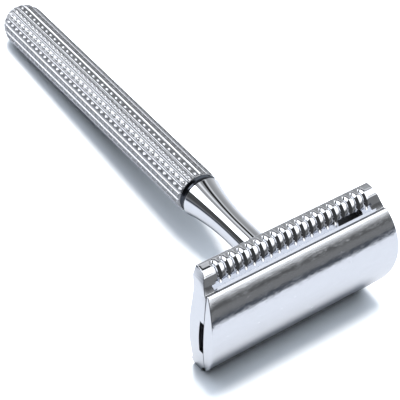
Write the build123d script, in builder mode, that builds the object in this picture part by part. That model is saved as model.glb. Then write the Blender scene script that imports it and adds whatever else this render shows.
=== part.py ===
"""Three-piece double-edge safety razor with a long patterned handle.

The handle's axis is +X and points at the head, the head's length is along Y, and +Z is up
with the razor lying on its side. The origin is the middle of the small flat on the
handle's domed end. Lengths are in millimetres.

The cap and the guard plate clamp a thin blade between them. A threaded stud on the cap
passes through the blade and the plate and screws into the neck of the handle.
"""

import os
from math import cos, radians, sin, sqrt

from build123d import *

os.makedirs("parts", exist_ok=True)

# ---------------------------------------------------------------- driving dimensions

edge_x = 111.0            # plane of the cap's two long edges, from the handle's end flat

# Head, seen from the handle's axis
head_half_length = 22.5   # at the middle of each convex end
end_arc_radius = 39.0     # plan radius of the convex ends of cap and plate

# Cap
cap_half_width = 10.0
cap_crown = 3.5           # crown above the plane of the edges
cap_edge_thickness = 0.42
lip_bulge = 0.08          # rounding of the two long edges
stud_hole_depth = 1.9
pin_hole_depth = 1.5
cut_margin = 1.0          # how far cutting shapes run past the metal

# Blade, a standard double-edge blade bowed by the clamping
bow_radius = 52.0         # underside of the cap
bow_rise = 0.55           # underside of the cap above the plane of the edges, at the middle
blade_half_width = 11.0
blade_half_length = 21.4
blade_edge_half_length = 18.8
blade_tab_half_width = 8.5
blade_thickness = 0.1
blade_clearance = 0.03    # over and under the blade

# Locating pins and stud
pin_radius = 1.3
pin_offset = 11.0         # from the axis, along the head
pin_reach = 3.2           # below the plane of the edges
pin_hole_clearance = 0.1
pin_tip_radius = 0.5
stud_radius = 2.5         # M5 thread
stud_spigot_radius = 2.0
stud_reach = 11.6         # below the plane of the edges
stud_tip_chamfer = 0.6
stud_shoulder_gap = 0.01  # between the stud's shoulder and the cap
stud_plate_clearance = 0.2
stud_socket_clearance = 0.05

# Guard plate
bed_half_width = 9.3      # half width of the curved bed under the blade
bar_radius = 1.9          # safety bar
bar_drop = 4.2            # centre of the bar below the plane of the edges
bar_offset = 11.6         # centre of the bar from the handle's axis
bar_top_inset = 0.85      # where the bar's round top starts, inside the bar's centre
bar_foot = 5.5            # flat underside of the bar below the plane of the edges
bar_foot_inset = 0.2      # inner edge of that flat, inside the bar's centre
plate_underside = 4.05    # flat middle of the underside, below the plane of the edges
plate_slope_drop = 0.3    # the underside slopes down by this much toward the bars
shelf_step = 0.3          # shelf between bed and bar starts this far outside the bed
shelf_inner_drop = 1.2    # its high edge below the plane of the edges
shelf_outer_drop = 2.75   # its low edge, at the bar
tooth_pitch = 1.917
tooth_gaps = 19           # grooves along each bar
groove_depth = 0.6
groove_flank_depth = 0.16       # halfway up a lobe's rounded flank
groove_flank_half_width = 0.38
groove_cutter_lift = 0.02       # keeps the cutter's shoulders clear of the lobes
groove_cutter_height = 0.8
groove_start_angle = -45.0
groove_end_angle = 110.0
end_block_start = 17.8    # from here outward the gap between bed and bar is filled
end_block_inner_drop = 0.95
end_block_outer_drop = 2.3
end_block_foot_drop = 3.5
end_block_inset = 0.4     # how far the block reaches in under the bed
end_notch_half_width = 4.0
end_notch_depth = 1.4
end_notch_length = 1.2
lather_slot_start = 10.1
lather_slot_length = 6.0
lather_slot_width = 1.5
lather_slot_top_drop = 1.0

# Seat between plate and neck
boss_radius = 6.5
boss_foot = 5.6           # below the plane of the edges
seat_drop = 4.6           # the neck's end, below the plane of the edges
seat_radius = 4.2
seat_clearance = 0.05
seat_gap = 0.02
boss_overlap = 0.5

# Neck, with drops measured from the plane of the edges
neck_nose_drop = 6.4
waist_front_drop = 14.0
waist_rear_drop = 19.0
neck_waist_radius = 3.1
neck_swell_drop = 26.1
neck_swell_radius = 3.52
neck_base_drop = 31.8     # shoulder next to the collar
neck_base_radius = 4.65
neck_base_round = 0.2
neck_chamfer = 0.3
nose_direction = (-0.9, -0.45)
axis_direction = (-1, 0)
base_direction = (-0.95, 0.31)
socket_depth = 9.0
collar_radius = 4.5
collar_seat_radius = 3.9
collar_width = 1.6
collar_rim_radius = 0.2
spigot_radius = 3.35
spigot_length = 11.6

# Grip
grip_front_radius = 4.85
grip_rear_radius = 5.2
dome_centre_x = 5.0       # centre of the rounded end, from the end flat
ridge_count = 18
ridge_height = 0.3
ridge_width = 0.5
ridge_root_depth = 1.5    # how far each ridge's blank reaches into the tube's wall
ridge_front_gap = 0.6     # the ridges stop this far short of the front edge
grip_wall_bore = spigot_radius
front_chamfer = 0.25

# Rear plug and core
plug_flat_radius = 1.45
plug_spigot_length = 6.5
plug_chamfer = 0.3
core_length = 55.0
core_gap = 0.5
core_chamfer = 0.4

# ---------------------------------------------------------------- derived places

bow_centre_x = edge_x + bow_rise - bow_radius
blade_outer_radius = bow_radius - blade_clearance
blade_inner_radius = blade_outer_radius - blade_thickness
bed_radius = blade_inner_radius - blade_clearance
bar_x = edge_x - bar_drop
collar_front_x = edge_x - neck_base_drop
grip_front_x = collar_front_x - collar_width
seat_x = edge_x - seat_drop


def on_circle(centre_x, radius, height):
    """Place where a circle about (centre_x, 0) reaches a height, on its +X side."""
    return (centre_x + sqrt(radius**2 - height**2), height)


def mirrored(point):
    """The same point on the head's other side."""
    return (point[0], -point[1])


def plan_outline(half_width):
    """Plan of the head: straight long sides and two convex ends."""
    end_centre = end_arc_radius - head_half_length
    Rectangle(2 * head_half_length, 2 * half_width)
    with Locations((-end_centre, 0)):
        Circle(end_arc_radius, mode=Mode.INTERSECT)
    with Locations((end_centre, 0)):
        Circle(end_arc_radius, mode=Mode.INTERSECT)


# ---------------------------------------------------------------- cap

underside_edge = on_circle(bow_centre_x, bow_radius, cap_half_width)
underside_top = (edge_x + bow_rise, 0)
cap_lip = (edge_x - cap_edge_thickness / 2, cap_half_width + lip_bulge)

with BuildPart() as cap:
    with BuildSketch(Plane.XZ):
        with BuildLine():
            ThreePointArc(
                (edge_x, -cap_half_width), (edge_x + cap_crown, 0), (edge_x, cap_half_width)
            )
            ThreePointArc((edge_x, cap_half_width), cap_lip, underside_edge)
            ThreePointArc(underside_edge, underside_top, mirrored(underside_edge))
            ThreePointArc(
                mirrored(underside_edge), mirrored(cap_lip), (edge_x, -cap_half_width)
            )
        make_face()
    extrude(amount=head_half_length, both=True)
    with BuildSketch(Plane.YZ.offset(edge_x)):
        plan_outline(cap_half_width + lip_bulge)
    extrude(amount=cap_crown + cut_margin, both=True, mode=Mode.INTERSECT)
    with BuildSketch(Plane.YZ.offset(edge_x)):
        Circle(stud_spigot_radius)
    extrude(amount=bow_rise + stud_hole_depth, mode=Mode.SUBTRACT)
    with BuildSketch(Plane.YZ.offset(edge_x)):
        with Locations((-pin_offset, 0), (pin_offset, 0)):
            Circle(pin_radius)
    extrude(amount=bow_rise + pin_hole_depth, mode=Mode.SUBTRACT)

# ---------------------------------------------------------------- threaded stud

stud_shoulder_x = on_circle(bow_centre_x, bow_radius, stud_radius)[0] - stud_shoulder_gap

with BuildPart() as cap_stud:
    with BuildSketch(Plane.YZ.offset(edge_x - stud_reach)):
        Circle(stud_radius)
    extrude(amount=stud_shoulder_x - edge_x + stud_reach)
    with BuildSketch(Plane.YZ.offset(stud_shoulder_x)):
        Circle(stud_spigot_radius)
    extrude(amount=edge_x + bow_rise + stud_hole_depth - stud_shoulder_x)
    tip = cap_stud.edges().group_by(Axis.X)[0]
    chamfer(tip, length=stud_tip_chamfer)

# ---------------------------------------------------------------- locating pins

with BuildPart() as locating_pins:
    with BuildSketch(Plane.YZ.offset(edge_x - pin_reach)):
        with Locations((-pin_offset, 0), (pin_offset, 0)):
            Circle(pin_radius)
    extrude(amount=pin_reach + bow_rise + pin_hole_depth)
    pin_tips = locating_pins.edges().group_by(Axis.X)[0]
    fillet(pin_tips, radius=pin_tip_radius)

# ---------------------------------------------------------------- blade

blade_angle = blade_half_width / blade_outer_radius
blade_slot_length = 33.0
blade_slot_width = 3.2
blade_centre_hole_radius = 3.1
blade_pin_hole_radius = 1.9
blade_corner_radius = 0.8


def bow_point(radius, angle):
    """Point on the bowed section, at an angle from the middle, in radians."""
    return (bow_centre_x + radius * cos(angle), radius * sin(angle))


with BuildPart() as blade:
    with BuildSketch(Plane.XZ):
        with BuildLine():
            ThreePointArc(
                bow_point(blade_outer_radius, -blade_angle),
                bow_point(blade_outer_radius, 0),
                bow_point(blade_outer_radius, blade_angle),
            )
            Line(
                bow_point(blade_outer_radius, blade_angle),
                bow_point(blade_inner_radius, blade_angle),
            )
            ThreePointArc(
                bow_point(blade_inner_radius, blade_angle),
                bow_point(blade_inner_radius, 0),
                bow_point(blade_inner_radius, -blade_angle),
            )
            Line(
                bow_point(blade_inner_radius, -blade_angle),
                bow_point(blade_outer_radius, -blade_angle),
            )
        make_face()
    extrude(amount=blade_half_length, both=True)
    with BuildSketch(Plane.YZ.offset(edge_x)):
        Rectangle(2 * blade_edge_half_length, 2 * blade_half_width)
        RectangleRounded(
            2 * blade_half_length, 2 * blade_tab_half_width, blade_corner_radius
        )
        SlotOverall(blade_slot_length, blade_slot_width, mode=Mode.SUBTRACT)
        Circle(blade_centre_hole_radius, mode=Mode.SUBTRACT)
        with Locations((-pin_offset, 0), (pin_offset, 0)):
            Circle(blade_pin_hole_radius, mode=Mode.SUBTRACT)
    extrude(amount=cap_crown, both=True, mode=Mode.INTERSECT)

# ---------------------------------------------------------------- guard plate

bed_edge = on_circle(bow_centre_x, bed_radius, bed_half_width)
bar_crest_inner_z = bar_offset - bar_top_inset
bar_inner_top_x = bar_x + sqrt(bar_radius**2 - bar_top_inset**2)
bar_mid = (
    bar_x + bar_radius * cos(radians(45)),
    bar_offset + bar_radius * sin(radians(45)),
)
bar_outer_z = bar_offset + bar_radius
shelf_inner = (edge_x - shelf_inner_drop, bed_half_width + shelf_step)
shelf_outer = (edge_x - shelf_outer_drop, bar_crest_inner_z)


def half_guard_section(side):
    """Half of the plate's cross-section; side is 1 for +Z and -1 for -Z."""

    def place(x, z):
        return (x, side * z)

    with BuildLine() as outline:
        bed = ThreePointArc(
            (bow_centre_x + bed_radius, 0),
            place(*on_circle(bow_centre_x, bed_radius, bed_half_width / 2)),
            place(*bed_edge),
        )
        shelf = Polyline(
            bed @ 1,
            place(*shelf_inner),
            place(*shelf_outer),
            place(bar_inner_top_x, bar_crest_inner_z),
        )
        bar = ThreePointArc(shelf @ 1, place(*bar_mid), place(bar_x, bar_outer_z))
        Polyline(
            bar @ 1,
            place(edge_x - bar_foot, bar_outer_z),
            place(edge_x - bar_foot, bar_offset - bar_foot_inset),
            place(edge_x - plate_underside - plate_slope_drop, bed_half_width),
            place(edge_x - plate_underside, boss_radius),
            (edge_x - plate_underside, 0),
            bed @ 0,
        )
    make_face(outline.edges())


with BuildPart() as groove_cutter:
    with BuildSketch(Plane.XY.offset(bar_offset)):
        with BuildLine():
            flank_low = (bar_x + bar_radius - groove_depth, 0)
            flank_mid = (bar_x + bar_radius - groove_flank_depth, groove_flank_half_width)
            flank_top = (bar_x + bar_radius + groove_cutter_lift, tooth_pitch / 2)
            cutter_corner = (flank_top[0] + groove_cutter_height, flank_top[1])
            ThreePointArc(flank_low, flank_mid, flank_top)
            Polyline(flank_top, cutter_corner, mirrored(cutter_corner), mirrored(flank_top))
            ThreePointArc(mirrored(flank_top), mirrored(flank_mid), flank_low)
        make_face()
    bar_axis = Axis((bar_x, 0, bar_offset), (0, -1, 0))
    revolve(axis=bar_axis, revolution_arc=groove_end_angle - groove_start_angle)

groove_at_start = groove_cutter.part.rotate(bar_axis, groove_start_angle)
groove_places = [
    (index - (tooth_gaps - 1) / 2) * tooth_pitch for index in range(tooth_gaps)
]
upper_grooves = [Pos(0, along, 0) * groove_at_start for along in groove_places]
lower_grooves = [Rot(180, 0, 0) * groove for groove in upper_grooves]

block_length = head_half_length - end_block_start
block_section = [
    (edge_x - end_block_inner_drop, bed_half_width - end_block_inset),
    (edge_x - end_block_outer_drop, bar_offset),
    (edge_x - end_block_foot_drop, bar_offset),
    (edge_x - end_block_foot_drop, bed_half_width - end_block_inset),
]

with BuildPart() as base_plate:
    with BuildSketch(Plane.XZ):
        half_guard_section(1)
        half_guard_section(-1)
    extrude(amount=head_half_length, both=True)
    for along in (end_block_start + block_length / 2, -end_block_start - block_length / 2):
        with BuildSketch(Plane.XZ.offset(-along)):
            with BuildLine():
                Polyline(*block_section, close=True)
            make_face()
            with BuildLine():
                Polyline(*[mirrored(point) for point in block_section], close=True)
            make_face()
        extrude(amount=block_length / 2, both=True)
    with BuildSketch(Plane.YZ.offset(edge_x)):
        plan_outline(bar_outer_z)
    extrude(amount=bar_foot + cut_margin, both=True, mode=Mode.INTERSECT)
    with BuildSketch(Plane.YZ.offset(edge_x - boss_foot)):
        Circle(boss_radius)
    extrude(amount=boss_foot - plate_underside + boss_overlap)
    with BuildSketch(Plane.YZ.offset(edge_x - boss_foot)):
        Circle(seat_radius + seat_clearance)
    extrude(amount=boss_foot - seat_drop + seat_gap, mode=Mode.SUBTRACT)
    with BuildSketch(Plane.YZ.offset(edge_x - boss_foot)):
        Circle(stud_radius + stud_plate_clearance)
        with Locations((-pin_offset, 0), (pin_offset, 0)):
            Circle(pin_radius + pin_hole_clearance)
    extrude(amount=boss_foot + bow_rise + cut_margin, mode=Mode.SUBTRACT)
    for end in (-1, 1):
        notch_y = end * (head_half_length - end_notch_length / 2)
        with BuildSketch(Plane.YZ.offset(edge_x + bow_rise - end_notch_depth)):
            with Locations((notch_y, 0)):
                Rectangle(end_notch_length, 2 * end_notch_half_width)
        extrude(amount=end_notch_depth + cut_margin, mode=Mode.SUBTRACT)
    slot_middle = lather_slot_start + lather_slot_length / 2
    slot_z = (shelf_inner[1] + shelf_outer[1]) / 2
    with BuildSketch(Plane.YZ.offset(edge_x - lather_slot_top_drop)):
        with Locations((slot_middle, slot_z), (-slot_middle, -slot_z)):
            SlotOverall(lather_slot_length, lather_slot_width)
    extrude(amount=-boss_foot, mode=Mode.SUBTRACT)
    add(upper_grooves + lower_grooves, mode=Mode.SUBTRACT)

# ---------------------------------------------------------------- neck

spigot_end_x = grip_front_x - spigot_length

with BuildPart() as neck:
    with BuildSketch(Plane.XZ):
        with BuildLine():
            nose = Polyline(
                (seat_x, 0),
                (seat_x, seat_radius - neck_chamfer),
                (seat_x - neck_chamfer, seat_radius),
                (edge_x - neck_nose_drop, seat_radius),
            )
            flare = Spline(
                nose @ 1,
                (edge_x - waist_front_drop, neck_waist_radius),
                tangents=(nose_direction, axis_direction),
            )
            waist = Line(flare @ 1, (edge_x - waist_rear_drop, neck_waist_radius))
            swell = Spline(
                waist @ 1,
                (edge_x - neck_swell_drop, neck_swell_radius),
                (collar_front_x + neck_base_round, neck_base_radius),
                tangents=(axis_direction, base_direction),
            )
            Polyline(
                swell @ 1,
                (collar_front_x, neck_base_radius - neck_base_round),
                (collar_front_x, collar_seat_radius),
                (grip_front_x, collar_seat_radius),
                (grip_front_x, spigot_radius),
                (spigot_end_x + neck_chamfer, spigot_radius),
                (spigot_end_x, spigot_radius - neck_chamfer),
                (spigot_end_x, 0),
                (seat_x, 0),
            )
        make_face()
    revolve(axis=Axis.X)
    with BuildSketch(Plane.YZ.offset(seat_x - socket_depth)):
        Circle(stud_radius + stud_socket_clearance)
    extrude(amount=socket_depth, mode=Mode.SUBTRACT)

# ---------------------------------------------------------------- collar ring

with BuildPart() as collar_ring:
    with BuildSketch(Plane.YZ.offset(grip_front_x)):
        Circle(collar_radius)
        Circle(collar_seat_radius, mode=Mode.SUBTRACT)
    extrude(amount=collar_width)
    rims = collar_ring.edges().filter_by(GeomType.CIRCLE).group_by(SortBy.RADIUS)[-1]
    fillet(rims, radius=collar_rim_radius)

# ---------------------------------------------------------------- grip tube

dome_root_radius = grip_rear_radius - ridge_height
plug_rim_x = dome_centre_x - sqrt(dome_root_radius**2 - grip_wall_bore**2)


def grip_section(front_radius, rear_radius):
    """Solid of the tapered grip and its rounded end, as a half section."""
    tip_x = dome_centre_x - rear_radius
    middle = radians(45)
    with BuildLine() as outline:
        taper = Line((grip_front_x, front_radius), (dome_centre_x, rear_radius))
        dome = ThreePointArc(
            taper @ 1,
            (dome_centre_x - rear_radius * sin(middle), rear_radius * cos(middle)),
            (tip_x, 0),
        )
        Polyline(dome @ 1, (grip_front_x, 0), taper @ 0)
    make_face(outline.edges())


with BuildPart() as grip_ridges:
    with BuildSketch(Plane.YZ):
        with PolarLocations(grip_rear_radius, ridge_count):
            Rectangle(2 * ridge_root_depth, ridge_width)
    extrude(amount=grip_front_x - ridge_front_gap)
    with BuildSketch(Plane.XZ):
        grip_section(grip_front_radius, grip_rear_radius)
    revolve(axis=Axis.X, mode=Mode.INTERSECT)

with BuildPart() as grip:
    with BuildSketch(Plane.XZ):
        grip_section(grip_front_radius - ridge_height, dome_root_radius)
    revolve(axis=Axis.X)
    add(grip_ridges.part)
    with BuildSketch(Plane.YZ.offset(dome_centre_x - grip_rear_radius)):
        Circle(grip_wall_bore)
    extrude(amount=grip_front_x - dome_centre_x + grip_rear_radius, mode=Mode.SUBTRACT)
    front_rim = grip.edges().filter_by(GeomType.CIRCLE).group_by(Axis.X)[-1].sort_by(
        SortBy.RADIUS
    )[-1]
    chamfer(front_rim, length=front_chamfer)

# ---------------------------------------------------------------- core rod

core_start_x = plug_rim_x + plug_spigot_length + core_gap

with BuildPart() as core_rod:
    with BuildSketch(Plane.YZ.offset(core_start_x)):
        Circle(grip_wall_bore)
    extrude(amount=core_length)
    chamfer(core_rod.edges(), length=core_chamfer)

# ---------------------------------------------------------------- end plug

with BuildPart() as end_plug:
    with BuildSketch(Plane.XZ):
        with BuildLine():
            flat = Line((0, 0), (0, plug_flat_radius))
            crown = RadiusArc(flat @ 1, (plug_rim_x, grip_wall_bore), -dome_root_radius)
            Polyline(
                crown @ 1,
                (plug_rim_x + plug_spigot_length - plug_chamfer, grip_wall_bore),
                (plug_rim_x + plug_spigot_length, grip_wall_bore - plug_chamfer),
                (plug_rim_x + plug_spigot_length, 0),
                flat @ 0,
            )
        make_face()
    revolve(axis=Axis.X)

# ---------------------------------------------------------------- write the pieces

pieces = {
    "cap": cap,
    "cap_stud": cap_stud,
    "locating_pins": locating_pins,
    "blade": blade,
    "base_plate": base_plate,
    "neck": neck,
    "collar_ring": collar_ring,
    "grip": grip,
    "core_rod": core_rod,
    "end_plug": end_plug,
}

for name, piece in pieces.items():
    piece.part.label = name
    export_step(piece.part, f"parts/{name}.step")
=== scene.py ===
"""Looks of the three-piece safety razor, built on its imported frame.

The frame's X axis is the handle's axis and points at the head, the head's length runs along Y,
and Z is up with the razor lying on its side. Lengths below are in millimetres and become metres
only where a mesh, lamp or camera is made. Places along X on the head and neck are measured from
the plane of the cap's two long edges, negative towards the handle.
"""

from math import acos, ceil, cos, degrees, floor, hypot, pi, radians, sin, sqrt, tan

import bmesh
import bpy
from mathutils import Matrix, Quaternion, Vector


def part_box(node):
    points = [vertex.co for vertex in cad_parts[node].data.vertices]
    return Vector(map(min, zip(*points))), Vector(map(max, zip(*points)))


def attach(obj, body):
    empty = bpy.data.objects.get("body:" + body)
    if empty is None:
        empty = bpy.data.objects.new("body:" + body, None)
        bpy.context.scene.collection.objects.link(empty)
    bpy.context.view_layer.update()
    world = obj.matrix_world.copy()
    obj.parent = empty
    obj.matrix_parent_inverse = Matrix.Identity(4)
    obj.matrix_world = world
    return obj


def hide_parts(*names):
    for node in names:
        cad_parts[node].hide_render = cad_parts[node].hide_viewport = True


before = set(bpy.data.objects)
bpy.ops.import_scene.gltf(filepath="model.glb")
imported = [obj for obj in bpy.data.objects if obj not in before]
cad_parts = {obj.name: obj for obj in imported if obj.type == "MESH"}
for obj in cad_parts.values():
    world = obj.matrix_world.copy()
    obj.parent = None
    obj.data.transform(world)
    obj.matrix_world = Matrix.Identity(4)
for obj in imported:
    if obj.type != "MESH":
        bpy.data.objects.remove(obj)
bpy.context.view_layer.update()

MM = 0.001


def x_span(node):
    """Where a node of the frame starts and ends along X, in millimetres."""
    low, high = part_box(node)
    return low.x / MM, high.x / MM


# -------------------- sizes

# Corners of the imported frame's nodes
cap_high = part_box("cap")[1]
blade_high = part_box("blade")[1]
plate_low, plate_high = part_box("base_plate")
grip_low, grip_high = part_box("grip")

CAP_CROWN = 3.5
EDGE_X = cap_high.x / MM - CAP_CROWN
HEAD_HALF_LENGTH = cap_high.y / MM
END_ARC_RADIUS = 39.0
END_CENTRE = END_ARC_RADIUS - HEAD_HALF_LENGTH
CAP_HALF_WIDTH = 10.0
CAP_EDGE_ROUND = 0.12
LIP_BULGE = 0.08
BOW_RADIUS = 52.0        # the cap, blade and bed are all bent to about this radius
BOW_RISE = 0.55          # by how much the cap's underside rises from its edges to its middle
BLADE_GAP = 0.03
BLADE_THICKNESS = 0.1

BED_HALF_WIDTH = 9.3
BED_RADIUS = BOW_RADIUS - 2 * BLADE_GAP - BLADE_THICKNESS
BAR_RADIUS = 1.9
BAR_X = -4.2
BAR_Z = plate_high.z / MM - BAR_RADIUS
BAR_FOOT = -5.5
PLATE_UNDERSIDE = -4.05
UNDERSIDE_SLOPE_DROP = 0.3
PLATE_EDGE_ROUND = 0.1
BOSS_RADIUS = 6.5
BOSS_FOOT = -5.6
LOBE_PITCH = 1.917
GROOVE_COUNT = 19
GROOVE_DEPTH = 0.6
LOBE_FULLNESS = 2.9      # the higher, the wider the lobes and the narrower the grooves
LOBE_ROW_HALF_LENGTH = LOBE_PITCH * GROOVE_COUNT / 2
END_BLOCK_START = 17.8

STUD_RADIUS = 2.5
SOCKET_CLEARANCE = 0.05
SOCKET_DEPTH = 9.0
PIN_RADIUS = 1.3
PIN_OFFSET = 11.0

COLLAR_FRONT = -31.8
COLLAR_SEAT_RADIUS = 3.9
GRIP_FRONT_X = grip_high.x / MM
GRIP_FRONT_RADIUS = 4.85
GRIP_REAR_RADIUS = grip_high.z / MM
DOME_CENTRE_X = 5.0
RIDGE_COUNT = 18
RIDGE_HEIGHT = 0.3
BEAD_PITCH = 1.888
BORE_RADIUS = 3.35

# -------------------- small geometry helpers


def smoothstep(low, high, value):
    """0 below low, 1 above high, and a smooth rise between them."""
    share = min(1.0, max(0.0, (value - low) / (high - low)))
    return share * share * (3 - 2 * share)


def spread(start, end, count):
    """Evenly spaced values from start to end, both included."""
    return [start + (end - start) * index / (count - 1) for index in range(count)]


def arc(centre, radius, start, end, count):
    """Points on a circle between two angles in degrees, both included."""
    return [
        (centre[0] + radius * cos(radians(angle)), centre[1] + radius * sin(radians(angle)))
        for angle in spread(start, end, count)
    ]


def hermite(start, start_slope, end, end_slope, count):
    """Points (x, r) of a smooth curve along x between two points with given slopes."""
    span = end[0] - start[0]
    points = []
    for share in spread(0.0, 1.0, count):
        a = 2 * share**3 - 3 * share**2 + 1
        b = share**3 - 2 * share**2 + share
        c = 3 * share**2 - 2 * share**3
        d = share**3 - share**2
        radius = a * start[1] + b * span * start_slope + c * end[1] + d * span * end_slope
        points.append((start[0] + share * span, radius))
    return points


LONGEST_REACH = 0.42      # a rounding takes up at most this share of the shorter side
GUARD_SHARE = 0.15        # guard points stand this share of the rounding's reach beyond it


def rounded(corners, degrees_per_step=18):
    """Open chain of points through corners (u, v, radius), each rounded by its radius, if it has one.

    A guard point stands on both sides of every rounding, which keeps flat faces flat in the shading.
    """
    points = []
    for index, corner in enumerate(corners):
        here = Vector(corner[:2])
        if len(corner) < 3:
            points.append(tuple(here))
            continue
        radius = corner[2]
        to_before = Vector(corners[index - 1][:2]) - here
        to_after = Vector(corners[index + 1][:2]) - here
        shortest = min(to_before.length, to_after.length)
        to_before.normalize()
        to_after.normalize()
        opening = acos(max(-1.0, min(1.0, to_before.dot(to_after))))
        reach = min(radius / tan(opening / 2), LONGEST_REACH * shortest)
        radius = reach * tan(opening / 2)
        centre = here + (to_before + to_after).normalized() * (radius / sin(opening / 2))
        start = here + to_before * reach - centre
        end = here + to_after * reach - centre
        steps = max(2, ceil(degrees(pi - opening) / degrees_per_step))
        turn = start.angle_signed(end)
        guard = GUARD_SHARE * reach
        points.append(tuple(here + to_before * (reach + guard)))
        for step in range(steps + 1):
            swing = -turn * step / steps
            spoke = Vector(
                (
                    start.x * cos(swing) - start.y * sin(swing),
                    start.x * sin(swing) + start.y * cos(swing),
                )
            )
            points.append(tuple(centre + spoke))
        points.append(tuple(here + to_after * (reach + guard)))
    return points


SHARP_ANGLE = 38


def make_object(name, points, faces, sharp_angle=SHARP_ANGLE):
    """Mesh object from points in millimetres, with outward faces and smooth shading."""
    mesh = bpy.data.meshes.new(name)
    mesh.from_pydata([(x * MM, y * MM, z * MM) for x, y, z in points], [], faces)
    mesh.update()
    shell = bmesh.new()
    shell.from_mesh(mesh)
    bmesh.ops.recalc_face_normals(shell, faces=shell.faces)
    for face in shell.faces:
        face.smooth = True
    shell.to_mesh(mesh)
    shell.free()
    mesh.set_sharp_from_angle(angle=radians(sharp_angle))
    made = bpy.data.objects.new(name, mesh)
    bpy.context.scene.collection.objects.link(made)
    return made


def path_normals(path, closed):
    """Unit normals of a path, to the left of its direction."""
    normals = []
    count = len(path)
    for index in range(count):
        before = path[index - 1] if closed or index > 0 else path[0]
        after = path[(index + 1) % count] if closed or index < count - 1 else path[-1]
        along = (after[0] - before[0], after[1] - before[1])
        length = hypot(*along) or 1.0
        normals.append((-along[1] / length, along[0] / length))
    return normals


def lathe_mesh(path, angles, relief=None, relief_rows=(), closed=False, centre_y=0.0):
    """Points and faces of a solid turned about the handle's axis.

    The path holds (x, radius). Points with no radius close the solid at its ends. On the path's
    relief_rows, relief(x, radius, angle) moves a point along the path's normal.
    """
    normals = path_normals(path, closed)
    points, faces, rings = [], [], []
    for index, (x, radius) in enumerate(path):
        first = len(points)
        if radius == 0:
            points.append((x, centre_y, 0.0))
            rings.append([first] * len(angles))
            continue
        for angle in angles:
            lift = relief(x, radius, angle) if index in relief_rows else 0.0
            here_x = x + normals[index][0] * lift
            here_radius = radius + normals[index][1] * lift
            points.append(
                (
                    here_x,
                    centre_y + here_radius * cos(radians(angle)),
                    here_radius * sin(radians(angle)),
                )
            )
        rings.append(list(range(first, first + len(angles))))
    pairs = list(zip(rings, rings[1:]))
    if closed:
        pairs.append((rings[-1], rings[0]))
    for one, other in pairs:
        for column in range(len(angles)):
            after = (column + 1) % len(angles)
            corners = [one[column], one[after], other[after], other[column]]
            face = list(dict.fromkeys(corners))
            if len(face) > 2:
                faces.append(face)
    return points, faces


def even_angles(count):
    """Evenly spaced angles of one full turn, in degrees."""
    return [360.0 * index / count for index in range(count)]


def lathe(name, path, columns, relief=None, relief_rows=(), closed=False):
    """Object turned about the handle's axis."""
    return make_object(name, *lathe_mesh(path, even_angles(columns), relief, relief_rows, closed))


def outline_normals(top, bottom):
    """Inward normals of a section whose top and bottom run side by side."""
    loop = top + bottom[::-1]
    normals = path_normals(loop, True)
    return normals[: len(top)], normals[len(top):][::-1]


END_SHARES = (0.2, 0.4, 0.6, 0.8, 1.0)
ROUND_ANGLES = (22.5, 45.0, 67.5, 90.0)
STATION_GAP = 0.01


def head_body(name, section_at, inner_stations, end_reach, edge_round):
    """Closed body along the head's length.

    section_at(y) gives two lists of (x, z), the top and the bottom, side by side and of equal
    length. Past the last inner station the section spreads out to end_reach(z), where the rim is
    rounded by edge_round.
    """
    last = inner_stations[-1]
    outer = [(share, 0.0) for share in END_SHARES]
    outer += [(1.0, angle) for angle in ROUND_ANGLES]
    points = []
    rows = []

    def add_row(y, share=0.0, angle=0.0, side=0):
        top, bottom = section_at(y)
        top_normals, bottom_normals = outline_normals(top, bottom)
        inset = edge_round * (1 - cos(radians(angle)))
        advance = edge_round * sin(radians(angle))
        first = len(points)
        for line, normals in ((top, top_normals), (bottom, bottom_normals)):
            for (x, z), normal in zip(line, normals):
                here = y
                if side:
                    straight = end_reach(z) - edge_round - last
                    here = side * (last + share * straight + advance)
                points.append((EDGE_X + x + normal[0] * inset, here, z + normal[1] * inset))
        rows.append((first, len(top)))

    for share, angle in outer[::-1]:
        add_row(-last - STATION_GAP, share, angle, -1)
    for y in inner_stations:
        add_row(y)
    for share, angle in outer:
        add_row(last + STATION_GAP, share, angle, 1)

    faces = []
    for (one, count), (other, _) in zip(rows, rows[1:]):
        for index in range(count - 1):
            faces.append([one + index, one + index + 1, other + index + 1, other + index])
            low_one, low_other = one + count + index, other + count + index
            faces.append([low_one, low_other, low_other + 1, low_one + 1])
        faces.append([one, other, other + count, one + count])
        last_top, last_low = count - 1, 2 * count - 1
        faces.append([one + last_top, one + last_low, other + last_low, other + last_top])
    for first, count in (rows[0], rows[-1]):
        for index in range(count - 1):
            here, low = first + index, first + count + index
            faces.append([here, here + 1, low + 1, low])
    return make_object(name, points, faces)


def prism(name, outline, low_x, high_x):
    """Straight body along X with an outline of (y, z) points."""
    count = len(outline)
    points = [(EDGE_X + x, y, z) for x in (low_x, high_x) for y, z in outline]
    faces = [list(range(count)), list(range(count, 2 * count))]
    for index in range(count):
        after = (index + 1) % count
        faces.append([index, after, count + after, count + index])
    return make_object(name, points, faces)


WELD_DISTANCE = 0.002


def weld(mesh):
    """Joins points that all but touch and removes the slivers between them."""
    shell = bmesh.new()
    shell.from_mesh(mesh)
    bmesh.ops.remove_doubles(shell, verts=shell.verts, dist=WELD_DISTANCE * MM)
    bmesh.ops.dissolve_degenerate(shell, edges=shell.edges, dist=WELD_DISTANCE * MM)
    shell.to_mesh(mesh)
    shell.free()


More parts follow.
